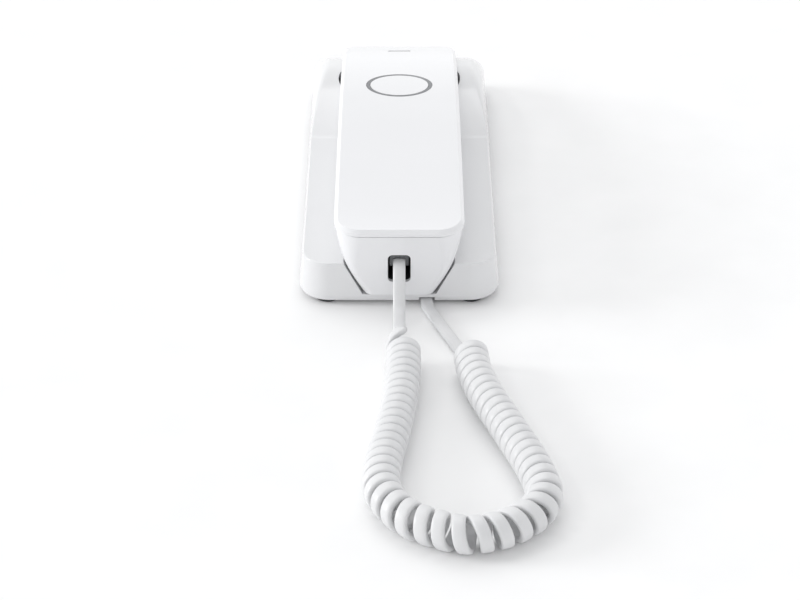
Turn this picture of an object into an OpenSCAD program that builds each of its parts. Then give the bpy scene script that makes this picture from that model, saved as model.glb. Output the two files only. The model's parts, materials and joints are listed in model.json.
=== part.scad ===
// Slimline wall telephone: a low base with a cradle, a handset with its keys on the inner face,
// and a curly cord between them.
// Modelled with the base's front edge at y = 0 and the table at z = 0. placed() then moves the
// origin to the table under the middle of the phone.

/* [Base] */
// Width of the base
base_w = 78; // [76:0.5:96]
// Length of the base
base_l = 201; // [198:0.5:245]
// Radius of the base's corners, seen from above
base_corner = 12; // [6:0.5:18]
// Height of the cover's front wall
cover_h = 14.1; // [13:0.1:20]
// How far the cover's walls lean in, in degrees
base_draft = 5.8; // [2:0.1:8]
// How far the walls of the raised rear part lean in, in degrees
hump_draft = 11; // [5:0.5:14]
// Wall thickness of the base cover
cover_wall = 2; // [1.6:0.1:2.4]
// Length of the raised rear part, from its crease to the rear edge
hump_l = 91.4; // [86:0.2:95]
// Radius of the raised part's back, seen from the side
hump_r = 103; // [95:1:140]
// Distance from the raised part's highest line to the rear edge
hump_crest = 50.5; // [44:0.5:54]
// Radius of the cover's top edge at the rear corners
rear_edge = 7; // [3:0.5:8]
// Thickness of the bottom plate
plate_t = 1.7; // [1.5:0.1:2.5]
// How far the bottom plate's edge stays inside the cover's
plate_inset = 0.8; // [0.4:0.1:1.5]

/* [Feet and wall fixing] */
// Diameter of a rubber foot
foot_d = 10; // [8:0.5:13]
// Height of a foot below the plate
foot_h = 1.8; // [1.2:0.1:3]
// Distance between the two keyholes
keyhole_pitch = 100; // [90:1:110]
// Diameter of a keyhole's entry, for the screw head
keyhole_d = 8; // [7:0.5:9]
// Width of a keyhole's slot, for the screw's shank
keyhole_slot = 4.4; // [4:0.1:5]
// Length of a keyhole's slot beyond the entry's centre
keyhole_run = 8; // [7:0.5:10]

/* [Handset] */
// Width of the handset
handset_w = 50.4; // [46:0.2:61]
// Height of the handset's highest line above the table
handset_top = 35; // [34.5:0.1:38]
// Thickness of the back shell at its edge
back_h = 2.4; // [2.2:0.1:3]
// Chamfer around the back shell
back_chamfer = 1.4; // [0.8:0.1:1.6]
// Radius of the handset's front corners, seen from above
front_corner = 10.6; // [6:0.2:14]
// Radius of the handset's rear corners, seen from above
rear_corner = 7; // [5:0.5:10]
// Wall thickness of the handset's shells
shell_wall = 1.8; // [1.4:0.1:2]
// Diameter of the ring inlay
ring_d = 28.2; // [22:0.2:34]
// Width of the ring inlay's band
ring_band = 1.7; // [1:0.1:2.5]
// Clearance between the handset and its cradle
cradle_gap = 0.6; // [0.5:0.1:1.2]

/* [Keys] */
// Distance between key columns
key_pitch_x = 11.5; // [11:0.1:12.5]
// Distance between key rows
key_pitch_y = 11; // [10:0.1:12]
// Width of a key
key_w = 8.6; // [7:0.1:9]
// Length of a key
key_l = 6.4; // [5:0.1:7]
// How far a key is pressed
key_travel = 1; // [0.6:0.1:1.2]
// Clearance around a key
key_gap = 0.35; // [0.3:0.05:0.6]

/* [Cord] */
// Width of the flat cord
cord_w = 4.8; // [4:0.1:5.2]
// Thickness of the flat cord
cord_t = 2.5; // [2:0.1:2.8]
// Outer diameter of the coiled part
coil_d = 13.2; // [12:0.1:15]

/* [Hidden] */
$fn = 48;
eps = 0.01;
colour_shell = [0.96, 0.96, 0.97];
colour_plate = [0.9, 0.9, 0.91];
colour_grey = [0.5, 0.51, 0.53];
colour_dark = [0.13, 0.13, 0.14];
colour_board = [0.1, 0.36, 0.2];
colour_metal = [0.76, 0.77, 0.8];
colour_rubber = [0.2, 0.2, 0.21];

// Heights above the table
seam_z = foot_h + plate_t;
base_top = seam_z + cover_h;
trough_floor = seam_z + 1.2;
face_z = base_top + 1.4;
mouth_z = trough_floor + 0.4;
ear_floor = seam_z + 5.6;
ear_z = ear_floor + 0.4;

// The base, seen from the side
crease_y = base_l - hump_l;
hump_y = base_l - hump_crest;
hump_z = base_top + hump_r - sqrt(hump_r ^ 2 - (hump_y - crease_y) ^ 2);
function base_surface(y) = y < crease_y ? base_top : hump_z - hump_r + sqrt(hump_r ^ 2 - (y - hump_y) ^ 2);
function wall_lean(z) =
    (min(z, base_top) - seam_z) * tan(base_draft) + max(0, z - base_top) * tan(hump_draft);
// Radius of the cover's top edge, sharp beside the low part and soft at the rear
function edge_r(y) = lookup(y, [[crease_y + 10, 0.6], [base_l - 20, rear_edge]]);

// The handset, seen from the side: two parabolas meet on its highest line
handset_y0 = -0.8;
handset_y1 = base_l - 4;
crest_y = base_l - 111;
front_curve = 3800;
rear_curve = 800;
mouth_l = 50;
ear_y0 = base_l - 70;
slope_l = 8;
function back_surface(y) = handset_top - (y - crest_y) ^ 2 / (y < crest_y ? front_curve : rear_curve);
function parting(y) = back_surface(y) - back_h;
function underside(y) = lookup(y, [
    [mouth_l - slope_l, mouth_z],
    [mouth_l, face_z],
    [ear_y0 - slope_l, face_z],
    [ear_y0, ear_z]
]);
// Half-width of the front shell at a depth below the parting line
function keel(depth) = handset_w / 2 - 0.4 - 0.158 * depth - 0.0106 * depth ^ 2;
// Radius of the front shell's front corners, which tighten with depth
low_corner = 4.4;
function front_corner_at(depth) = max(front_corner - 0.45 * depth, low_corner);
part_gap = 0.2;
front_parting = parting(0);

// Places along the phone
cup_y = base_l - 49;
cup_r = handset_w / 2 + 1.3;
cup_wall = 1.6;
ring_y = base_l - 71;
lens_y = base_l - 16;
lens_w = 9.6;
lens_l = 1.6;
keys_y = (mouth_l + ear_y0 - slope_l) / 2 - 3;
hook_y = ear_y0 - slope_l - 8;
total_l = base_l - handset_y0;

// Feet and screws
foot_x = base_w / 2 - 11;
foot_y = 7;
foot_sink = 0.6;
base_screw_x = base_w / 2 - 8;
base_screw_y = 24;
screw_r = 1.4;
screw_head_r = 2.5;
screw_head_h = 1.1;
screw_gap = 0.05;

// Keyholes
keyhole_y = base_l / 2 + 9.5;

// Sockets and plugs
jack_wall = 1.4;
jack_back = 2.4;
line_x = base_w / 2 - 12;
line_y = 68;
line_w = 9.7;
line_h = 6.6;
line_depth = 12;
line_recess = 20;
cord_jack_x = 12;
cord_jack_y = 56.8;
plug_out = 3;
plug_w = 7.6;
plug_h = 6.2;
plug_l = 12;
plug_gap = 0.15;
cord_slot = cord_w + 2.6;
recess_w = 8.8;
recess_h = 11.8;
recess_z = seam_z + 7.3;
recess_corner = 1.8;
handset_plug_z = recess_z + 4.2;
handset_plug_y = 1.6;
base_plug_z = seam_z + jack_wall + plug_gap;
latch_h = 1.6;

// Boards
board_t = 1.6;
base_board_z = seam_z + 2;
handset_board_z = face_z + 6.4;

// The keys: rows run from the mouthpiece towards the earpiece, columns from +x to -x
key_rows = [
    ["star", "0", "hash"],
    ["7", "8", "9"],
    ["4", "5", "6"],
    ["1", "2", "3"],
    ["redial", "flash", "mute"]
];
KEYS = [for (r = [0 : len(key_rows) - 1], c = [0 : 2]) [str("key_", key_rows[r][c]), c, r]];
key_flange = 0.8;
key_proud = 0.8;
mat_gap = 0.3;

// The cord's route, from the handset's plug to the coil, along the coil, and on to the base's plug
lead_path = [
    [0, 1.6, 18.9], [0, -2, 18.2], [0, -4.6, 16.7], [0, -6.9, 14.2], [0, -8.6, 11.2], [0, -10.8, 8.3],
    [0, -13.7, 6.1], [0, -18, 4.9], [0, -23, 5], [0, -28, 6.3], [0, -33, 8.6], [0.1, -38.5, 11.2],
    [-0.6, -42, 11.6], [-2, -45.2, 11], [-2.2, -47.2, 10.6]
];
coil_path = [
    [1.5, -47.6, 6.6], [1.4, -59, 6.6], [0.8, -70, 6.6], [-0.2, -82, 6.6], [-1.6, -93, 6.6],
    [-3.1, -104, 6.6], [-4.9, -115, 6.6], [-6, -127, 6.6], [-5.2, -138, 6.6], [-0.8, -147.5, 6.6],
    [5, -154, 6.6], [10.7, -157.5, 6.6], [16.9, -160.5, 6.6], [22.8, -162, 6.6], [28.9, -161, 6.6],
    [35.2, -158.5, 6.6], [41.1, -154, 6.6], [46.6, -147.5, 6.6], [49.2, -138, 6.6],
    [47.4, -126, 6.6], [44.4, -115, 6.6], [40.7, -104, 6.6], [37.2, -93, 6.6], [33.4, -82, 6.6],
    [29.9, -70, 6.6], [27.6, -59, 6.6], [26.8, -50.6, 6.6]
];
tail_path = [
    [26.6, -50.2, 1.4], [24.6, -43, 1.4], [22.4, -35, 1.4], [19.5, -27, 1.4], [16.3, -18.5, 1.4],
    [13, -9.5, 1.4], [11, -3, 1.4], [10.6, 5, 1.4], [11, 15, 1.4], [11.7, 26, 1.4], [12, 36, 1.4],
    [12, 42, 1.5], [12, 46, 2], [12, 49, 4.2], [12, 51.4, 6.8], [12, 53.8, 7.3]
];

// Moves a piece from the front edge of the base to the phone's own frame
module placed() {
    translate([0, -(handset_y0 + total_l / 2), 0]) children();
}

// Puts children at the same place on the left and on the right
module both_sides() {
    children();
    mirror([1, 0, 0]) children();
}

// ---- Outlines and lofts ----

function spread(a, b, n) = [for (i = [0 : n]) a + (b - a) * i / n];

// The right half of a rounded rectangle from front to rear: x, y and the outward normal
function half_outline(w, y0, y1, rf, rr, ys) = concat(
    [for (a = spread(-90, 0, 6)) [w / 2 - rf + rf * cos(a), y0 + rf + rf * sin(a), cos(a), sin(a)]],
    [for (y = ys) [w / 2, y, 1, 0]],
    [for (a = spread(0, 90, 6)) [w / 2 - rr + rr * cos(a), y1 - rr + rr * sin(a), cos(a), sin(a)]]
);

// A closed ring from the right half's points, by adding their mirror images
function closed_ring(half) = concat(
    half,
    [for (i = [len(half) - 1 : -1 : 0]) [-half[i][0], half[i][1], half[i][2]]]
);

// A solid through rings of equal length, closed by strips across the first and the last one
module loft(rings) {
    n = len(rings[0]);
    last = (len(rings) - 1) * n;
    walls = [
        for (k = [0 : len(rings) - 2], i = [0 : n - 1], half = [0, 1])
        let (j = (i + 1) % n, low = k * n, high = low + n)
        half == 0 ? [low + i, high + i, high + j] : [low + i, high + j, low + j]
    ];
    caps = [
        for (i = [0 : n / 2 - 2], half = [0, 1], top = [0, 1])
        let (a = i, b = i + 1, c = n - 2 - i, d = n - 1 - i, tri = half == 0 ? [a, b, c] : [a, c, d])
        top == 0 ? tri : [last + tri[2], last + tri[1], last + tri[0]]
    ];
    polyhedron(points = [for (r = rings) each r], faces = concat(walls, caps), convexity = 8);
}

// A tube of elliptical section along a path, its width kept level
module ribbon(path, w, h, sides) {
    last = len(path) - 1;
    points = [
        for (i = [0 : last])
        let (
            step = path[min(i + 1, last)] - path[max(i - 1, 0)],
            along = step / norm(step),
            across = [along[1], -along[0], 0] / norm([along[0], along[1]]),
            up = cross(across, along)
        )
        for (s = [0 : sides - 1])
        path[i] + across * w / 2 * cos(360 * s / sides) + up * h / 2 * sin(360 * s / sides)
    ];
    walls = [
        for (i = [0 : last - 1], s = [0 : sides - 1], half = [0, 1])
        let (t = (s + 1) % sides, low = i * sides, high = low + sides)
        half == 0 ? [low + s, high + t, high + s] : [low + s, low + t, high + t]
    ];
    start = [for (s = [sides - 1 : -1 : 0]) s];
    end = [for (s = [0 : sides - 1]) last * sides + s];
    polyhedron(points = points, faces = concat(walls, [start, end]), convexity = 6);
}

module rounded_rect(w, l, r) {
    square([w - 2 * r, l], center = true);
    square([w, l - 2 * r], center = true);
    for (x = [-1, 1], y = [-1, 1]) translate([x * (w / 2 - r), y * (l / 2 - r)]) circle(r);
}

// A block centred in x and y that stands on z
module block(w, l, h, z = 0) {
    translate([-w / 2, -l / 2, z]) cube([w, l, h]);
}

// A prism across the phone, from an outline in y and z
module across(points, w) {
    translate([-w / 2, 0, 0]) rotate([90, 0, 90]) linear_extrude(w) polygon(points);
}

// ---- Base ----

cover_half = half_outline(base_w, 0, base_l, base_corner, base_corner, concat(
    spread(base_corner + 8, crease_y, 6),
    spread(crease_y + 5, base_l - base_corner - 5, 12)
));
// A ring of the cover's wall at the seam, inset by the wall's thickness for the inside
function seam_ring(inset) = closed_ring([
    for (p = cover_half) [p[0] - p[2] * inset, p[1] - p[3] * inset, seam_z]
]);

// A ring of the cover's rounded top edge: a is 0 at the wall and 90 at the roof
function edge_ring(inset, a) = closed_ring([
    for (p = cover_half)
    let (
        r = max(edge_r(p[1]) - inset, 0.1),
        round_in = inset + r * (1 - cos(a)),
        h = base_surface(p[1] - p[3] * round_in) - inset - r * (1 - sin(a)),
        in = wall_lean(h) + round_in
    )
    [p[0] - p[2] * in, p[1] - p[3] * in, h]
]);

trough_top = back_surface(crest_y);
under_skin = 1.6;
trough_end = handset_y1 + 1.3;
channel_w = handset_w;

// The space for the mouthpiece, through the cover's front wall; grow adds its wall
module mouth_trough(grow = 0) {
    low = trough_floor - min(grow, trough_floor - seam_z);
    bottom = keel(front_parting - trough_floor) + cradle_gap + grow;
    top = keel(front_parting - base_top) + cradle_gap + grow;
    rear = mouth_l - slope_l + cradle_gap + 1 + grow;
    run = slope_l * (trough_top - low) / (face_z - mouth_z);
    intersection() {
        translate([0, mouth_l + 20, 0]) rotate([90, 0, 0]) linear_extrude(mouth_l + 30) polygon([
            [-bottom, low], [bottom, low], [top, base_top], [top, trough_top],
            [-top, trough_top], [-top, base_top]
        ]);
        across([[-5, low], [rear, low], [rear + run, trough_top], [-5, trough_top]], base_w);
    }
}

// The space for the earpiece end, sunk into the raised part; grow adds its wall
module ear_trough(grow = 0) {
    floor_drop = min(grow, cup_wall);
    low = face_z - 1.2 - floor_drop;
    start = crease_y - 6 - grow;
    intersection() {
        linear_extrude(trough_top) {
            translate([0, (start + trough_end + grow) / 2])
                rounded_rect(channel_w + 2 * grow, trough_end + grow - start, 5 + grow);
            translate([0, cup_y]) circle(cup_r + grow, $fn = 96);
        }
        across([
            [start, low], [ear_y0 - slope_l - 1 - grow, low], [ear_y0 - 1 - grow, ear_floor - floor_drop],
            [trough_end + grow, ear_floor - floor_drop], [trough_end + grow, trough_top], [start, trough_top]
        ], base_w);
    }
}

// Everything under the cover's outer surface, a little lowered, to trim the trough's walls
module under_surface() {
    ys = concat(spread(2, crease_y, 1), spread(crease_y + 4, base_l - 2, 14));
    across(concat(
        [[2, seam_z]],
        [for (y = ys) [y, base_surface(y) - under_skin]],
        [[base_l - 2, seam_z]]
    ), base_w - 9);
}

module base_cover() {
    color(colour_shell) difference() {
        union() {
            loft(concat(
                [for (a = [90 : -30 : 0]) edge_ring(cover_wall, a)],
                [seam_ring(cover_wall), seam_ring(0)],
                [for (a = [0 : 30 : 90]) edge_ring(0, a)]
            ));
            intersection() {
                union() {
                    mouth_trough(cover_wall);
                    ear_trough(cover_wall);
                    base_screw_places() translate([0, 0, seam_z])
                        cylinder(r = screw_r + 1.8, h = hump_z - seam_z);
                }
                under_surface();
            }
        }
        mouth_trough();
        ear_trough();
        base_screw_places() translate([0, 0, seam_z - 1]) cylinder(r = screw_r + screw_gap, h = 9);
        translate([0, hook_y, seam_z]) cylinder(r = plunger_r + plunger_gap, h = 40);
    }
}

module keyhole() {
    cylinder(d = keyhole_d, h = 3 * plate_t, center = true);
    translate([0, keyhole_run / 2, 0]) cube([keyhole_slot, keyhole_run, 3 * plate_t], center = true);
    translate([0, keyhole_run, 0]) cylinder(d = keyhole_slot, h = 3 * plate_t, center = true);
}

module base_plate() {
    color(colour_plate) difference() {
        translate([0, base_l / 2, foot_h]) linear_extrude(plate_t)
            rounded_rect(base_w - 2 * plate_inset, base_l - 2 * plate_inset, base_corner - plate_inset);
        for (y = [-1, 1]) translate([0, keyhole_y + y * keyhole_pitch / 2, foot_h + plate_t / 2]) keyhole();
        feet_places() translate([0, 0, foot_h - 1]) cylinder(d = foot_d + 0.1, h = 1 + foot_sink);
        base_screw_places() cylinder(r = screw_r + 0.2, h = 9);
        base_screw_places() translate([0, 0, foot_h - 1])
            cylinder(r = screw_head_r + 0.2, h = 1 + screw_head_h);
        // Slot for the handset cord, up to its socket, and a notch under the front edge
        translate([cord_jack_x - 0.5, 0, 0]) {
            translate([-cord_slot / 2, 2.5, 0]) cube([cord_slot, cord_jack_y - 3.5, 9]);
            translate([-cord_slot / 2, -1, 0]) cube([cord_w + 1.2, 4, foot_h + 1.2]);
        }
        // Recess for the line plug, behind its socket
        translate([line_x, line_y + line_recess / 2, 0]) block(line_w + 3.2, line_recess, 9);
    }
}

module base_screw_places() {
    both_sides() for (y = [base_screw_y, base_l - base_screw_y]) translate([base_screw_x, y, 0]) children();
}

module feet_places() {
    both_sides() for (y = [foot_y, base_l - foot_y - 2]) translate([foot_x, y, 0]) children();
}

module foot(side, y) {
    color(colour_rubber) translate([side * foot_x, y, 0]) rotate_extrude() polygon([
        [0, 0], [foot_d / 2 - 0.5, 0], [foot_d / 2, 0.5], [foot_d / 2, foot_h + foot_sink],
        [0, foot_h + foot_sink]
    ]);
}

// A pan-head screw that points up, its head under z = 0
module screw(r, head_r, head_h, l) {
    difference() {
        rotate_extrude() polygon([
            [0, -head_h], [head_r - 0.4, -head_h], [head_r, -head_h + 0.4], [head_r, 0], [r, 0],
            [r, l - 0.8], [r - 0.7, l], [0, l]
        ]);
        for (a = [0, 90]) rotate([0, 0, a]) block(0.6, head_r * 1.2, 0.7, -head_h - eps);
    }
}

module base_screws() {
    color(colour_metal) base_screw_places() translate([0, 0, foot_h + screw_head_h])
        screw(screw_r, screw_head_r, screw_head_h, 7);
}

board_w = 40;
board_l = 46;
board_x = -13;
board_y = hook_y - 18;

module base_board() {
    color(colour_board) {
        translate([board_x, board_y, 0]) block(board_w, board_l, board_t, base_board_z);
        // Standoffs down to the plate
        for (x = [-1, 1], y = [-1, 1])
            translate([board_x + x * (board_w / 2 - 3), board_y + y * (board_l / 2 - 3), seam_z])
                cylinder(r = 1.8, h = base_board_z - seam_z);
    }
}

module board_parts() {
    color(colour_dark) translate([board_x, board_y, board_top]) {
        translate([-6, -6, 0]) block(9, 7, 1.6);
        translate([6, -14, 0]) block(14, 8, 4.5);
        translate([-12, 4, 0]) block(6, 6, 1.4);
        for (i = [0 : 2]) translate([-15 + 6.5 * i, -17, 0]) cylinder(r = 2.5, h = 4.8);
        for (i = [0 : 3]) translate([-16 + 3.4 * i, 14, 0]) block(1.6, 3.2, 1);
    }
}

// A socket: a block whose cavity opens towards -y
module jack(w, h, depth) {
    difference() {
        block(w + 2 * jack_wall, depth + jack_back, h + 2 * jack_wall);
        translate([0, -jack_back / 2 - eps, jack_wall]) block(w, depth + 2 * eps, h);
    }
}

module line_jack() {
    color(colour_dark) translate([line_x, line_y - (line_depth + jack_back) / 2, seam_z])
        rotate([0, 0, 180]) jack(line_w, line_h, line_depth);
}

module cord_jack() {
    color(colour_dark) translate([cord_jack_x, cord_jack_y + (plug_l + jack_back) / 2, seam_z])
        jack(plug_w + 2 * plug_gap, plug_h + 2 * plug_gap, plug_l);
}

plunger_r = 3;
plunger_gap = 0.35;
plunger_travel = 3;
board_top = base_board_z + board_t;
flange_top = face_z - 1.2 - cup_wall - plunger_travel - 0.4;
switch_h = 1.9;

module hook_plunger() {
    top = face_z - 0.5;
    color(colour_shell) translate([0, hook_y, 0]) {
        translate([0, 0, flange_top]) cylinder(r = plunger_r, h = top - 0.5 - flange_top);
        translate([0, 0, flange_top]) cylinder(r = plunger_r - 0.5, h = top - flange_top);
        translate([0, 0, flange_top - 1]) cylinder(r = plunger_r + 1.5, h = 1);
        translate([0, 0, board_top + switch_h + 0.1])
            cylinder(r = 1.4, h = flange_top - board_top - switch_h - 0.5);
    }
}

module hook_spring() {
    turns = 3;
    wire = 0.5;
    low = board_top + wire;
    rise = flange_top - 1 - wire - low;
    steps = turns * 12;
    path = [
        for (i = [0 : steps])
        [4 * cos(360 * turns * i / steps), 4 * sin(360 * turns * i / steps), low + rise * i / steps]
    ];
    color(colour_metal) translate([0, hook_y, 0]) ribbon(path, wire, wire, 6);
}

module hook_switch() {
    color(colour_dark) translate([0, hook_y, board_top]) {
        block(4.6, 4.6, 1.4);
        cylinder(r = 1.4, h = switch_h);
    }
}

ringer_x = -22;
ringer_y = 61;

module ringer() {
    color(colour_grey) translate([ringer_x, ringer_y, seam_z]) difference() {
        cylinder(r = 11, h = 4);
        translate([0, 0, 3]) cylinder(r = 9.5, h = 2);
        translate([0, 0, -1]) cylinder(r = 1.5, h = 9);
    }
}

// ---- Handset ----

handset_ys = concat(
    [14, 20, 27, 34, mouth_l - slope_l, mouth_l - slope_l / 2, mouth_l],
    spread(mouth_l + 8, ear_y0 - slope_l - 8, 7),
    [ear_y0 - slope_l, ear_y0 - slope_l / 2, ear_y0],
    spread(ear_y0 + 7, handset_y1 - rear_corner - 5, 6)
);
function handset_half(inset) = half_outline(
    handset_w - 2 * inset, handset_y0 + inset, handset_y1 - inset,
    front_corner - inset, rear_corner - inset, handset_ys
);

// A ring of the back shell, at drop below its outer surface
function back_ring(inset, drop) = closed_ring([
    for (p = handset_half(inset)) [p[0], p[1], back_surface(p[1]) - drop]
]);

// A ring of the front shell, at a fraction of its depth; raise lifts the inside off the underside
function front_ring(inset, raise, part) = closed_ring([
    for (p = handset_half(inset))
    let (
        depth = part * (parting(p[1]) - part_gap - underside(p[1]) - raise),
        at_front = p[3] < 0,
        r = (at_front ? front_corner_at(depth) : rear_corner) - inset,
        y = at_front ? handset_y0 + inset + r * (1 + p[3]) : p[1]
    )
    [keel(depth) - inset - r * (1 - p[2]), y, parting(p[1]) - part_gap - depth]
]);

module handset_back() {
    lip = 1.1;
    lip_inset = shell_wall + 1.4;
    color(colour_shell) difference() {
        union() {
            loft([
                back_ring(lip_inset + lip, shell_wall), back_ring(lip_inset + lip, back_h + 2),
                back_ring(lip_inset, back_h + 2), back_ring(lip_inset, back_h),
                back_ring(0, back_h), back_ring(0, back_chamfer), back_ring(back_chamfer, 0)
            ]);
            handset_screw_places() translate([0, 0, $boss_z])
                cylinder(r = 2.8, h = $boss_top - $boss_z);
        }
        handset_screw_places() translate([0, 0, $boss_z - 1])
            cylinder(r = screw_r + screw_gap, h = 8);
        ring_space(0.9, 0.2);
        lens_space(3, 0.1);
    }
}

// The handset's screws: two beside the microphone and one behind the speaker
module handset_screw_places() {
    for (p = [[-9.4, mic_y], [9.4, mic_y], [0, cup_y + 22]]) {
        $boss_z = underside(p[1]) + 9;
        $boss_top = back_surface(p[1]) - shell_wall / 2;
        translate([p[0], p[1], 0]) children();
    }
}

mic_y = 31;

module handset_front() {
    parts = [1, 0.8, 0.6, 0.4, 0.2, 0];
    inner_parts = [0, 0.35, 0.7, 1];
    color(colour_shell) difference() {
        union() {
            loft(concat(
                [for (f = parts) front_ring(0, 0, f)],
                [for (f = inner_parts) front_ring(shell_wall, shell_wall, f)]
            ));
            handset_screw_places() translate([0, 0, $boss_z - 8.5]) cylinder(r = 2.7, h = 8.3);
        }
        handset_screw_places() {
            translate([0, 0, $boss_z - 12]) cylinder(r = screw_r + 0.2, h = 20);
            translate([0, 0, $boss_z - 12]) cylinder(r = 1.9, h = 7);
        }
        for (k = KEYS) translate([key_x(k), key_y(k), face_z - 1])
            block(key_w + 2 * key_gap, key_l + 2 * key_gap, shell_wall + 2);
        // Sound holes of the earpiece and the microphone
        translate([0, cup_y, ear_z - 1]) cylinder(r = 0.9, h = shell_wall + 2);
        for (a = [0 : 45 : 315]) translate([5 * cos(a), cup_y + 5 * sin(a), ear_z - 1])
            cylinder(r = 0.9, h = shell_wall + 2);
        translate([0, mic_y, mouth_z - 1]) cylinder(r = 0.8, h = shell_wall + 2);
        recess();
    }
}

// The socket's opening in the end face
module recess() {
    translate([0, handset_y0 + 5, recess_z + recess_h / 2]) rotate([90, 0, 0])
        linear_extrude(8) rounded_rect(recess_w, recess_h, recess_corner);
}

module ring_space(depth, gap) {
    intersection() {
        translate([0, ring_y, 0]) difference() {
            cylinder(d = ring_d, h = handset_top + 5, $fn = 96);
            translate([0, 0, -1]) cylinder(d = ring_d - 2 * ring_band, h = handset_top + 9, $fn = 96);
        }
        surface_band(ring_y, ring_d / 2 + 1, depth, gap > 0 ? -3 : 0.1);
    }
}

module lens_space(depth, gap) {
    intersection() {
        translate([0, lens_y, 0]) block(lens_w + 2 * gap, lens_l + 2 * gap, handset_top + 5);
        surface_band(lens_y, 6, depth, gap > 0 ? -3 : 0.05);
    }
}

// The layer of the back shell between depth and sink below its outer surface, around y
module surface_band(y, reach, depth, sink) {
    ys = spread(y - reach, y + reach, 8);
    across(concat(
        [for (v = ys) [v, back_surface(v) - depth]],
        [for (i = [len(ys) - 1 : -1 : 0]) [ys[i], back_surface(ys[i]) - sink]]
    ), handset_w);
}

module ring_trim() {
    color(colour_grey) ring_space(0.9, 0);
}

module indicator_lens() {
    color(colour_grey) lens_space(2.6, 0);
}

module indicator_led() {
    color(colour_metal) translate([0, lens_y, back_surface(lens_y) - 6]) {
        block(6, 3, 0.8);
        block(3, 1.6, 2);
    }
}

handset_board_y0 = mouth_l - 6;
handset_board_y1 = hook_y + 4;

module handset_board() {
    y = (handset_board_y0 + handset_board_y1) / 2;
    color(colour_board) {
        translate([0, y, 0]) block(33, handset_board_y1 - handset_board_y0, board_t, handset_board_z);
        translate([-8, y + 8, 0]) block(8, 8, 1.4, handset_board_z + board_t);
        translate([8, y - 10, 0]) block(6, 10, 1.2, handset_board_z + board_t);
    }
}

module keypad_mat() {
    rows_l = len(key_rows) * key_pitch_y;
    color(colour_rubber) translate([0, keys_y, 0])
        block(3 * key_pitch_x - 1, rows_l, 1, handset_board_z - 1);
}

function key_x(k) = (1 - k[1]) * key_pitch_x;
function key_y(k) = keys_y + (k[2] - (len(key_rows) - 1) / 2) * key_pitch_y;

// A key: a rounded cap through the inner face, and a flange that keeps it in
module key(k) {
    flange_z = face_z + shell_wall + 0.3;
    top = handset_board_z - 1 - mat_gap - key_travel;
    color(colour_shell) translate([key_x(k), key_y(k), 0]) {
        translate([0, 0, face_z - key_proud]) linear_extrude(flange_z - face_z + key_proud)
            rounded_rect(key_w, key_l, 1.6);
        block(key_w + 2 * key_flange, key_l + 2 * key_flange, 0.8, flange_z);
        block(key_w - 3, key_l - 3, top - flange_z, flange_z);
    }
}

module ear_speaker() {
    color(colour_dark) translate([0, cup_y, ear_z + shell_wall + 0.6]) {
        cylinder(r = 13.5, h = 1.6);
        cylinder(r = 10, h = 4);
        cylinder(r = 6, h = 5.4);
    }
}

module speaker_gasket() {
    color(colour_rubber) translate([0, cup_y, ear_z + shell_wall]) difference() {
        cylinder(r = 13.5, h = 0.6);
        translate([0, 0, -1]) cylinder(r = 10.5, h = 3);
    }
}

mic_r = 4.85;

module microphone() {
    color(colour_metal) translate([0, mic_y, mouth_z + shell_wall + 0.8]) cylinder(r = mic_r, h = 3.4);
}

module microphone_boot() {
    color(colour_rubber) translate([0, mic_y, mouth_z + shell_wall]) difference() {
        cylinder(r = mic_r + 1, h = 3.6);
        translate([0, 0, 0.8]) cylinder(r = mic_r, h = 5);
        translate([0, 0, -1]) cylinder(r = 1, h = 4);
    }
}

module handset_jack() {
    color(colour_dark) translate([0, handset_y0 + shell_wall + 8.5, 0]) difference() {
        block(recess_w + 2, 17, recess_h + 2, recess_z - 1);
        translate([0, -1.5, 0]) block(recess_w - 0.6, 14.1, recess_h - 0.6, recess_z + 0.3);
    }
}

module handset_screws() {
    color(colour_metal) handset_screw_places() translate([0, 0, $boss_z - 5])
        screw(screw_r, 1.8, 1.3, 11);
}

module handset_weight() {
    y = (mouth_l + hook_y) / 2;
    color(colour_metal) translate([0, y + 6, 0]) block(22, 34, 3, handset_board_z + board_t + 2.4);
}

// ---- Cord ----

// A small modular plug whose cord end is at y = 0, pointing towards +y, its latch on top
module modular_plug() {
    body_h = plug_h - latch_h;
    color([0.75, 0.77, 0.8]) difference() {
        union() {
            translate([0, plug_l / 2, 0]) block(plug_w, plug_l, body_h);
            translate([0, plug_l / 2 + 1.5, body_h - 0.5]) block(3, plug_l - 5, 1.3);
            translate([0, plug_l - 2, body_h - 0.5]) block(3, 3, latch_h + 0.5);
        }
        // Contacts
        for (x = [-1.5 : 1 : 1.5]) translate([x, plug_l - 1.5, -eps]) block(0.5, 4, 0.8);
    }
}

module handset_plug() {
    translate([0, handset_plug_y, handset_plug_z + plug_h]) mirror([0, 0, 1]) modular_plug();
}

module base_plug() {
    translate([cord_jack_x, cord_jack_y - plug_out, base_plug_z]) modular_plug();
}

module handset_lead() {
    color(colour_shell) ribbon(lead_path, cord_w, cord_t, 10);
}

module curly_cord() {
    color(colour_shell) ribbon(coil_path, coil_d, coil_d, 12);
}

module base_lead() {
    color(colour_shell) ribbon(tail_path, cord_w, cord_t, 10);
}

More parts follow.
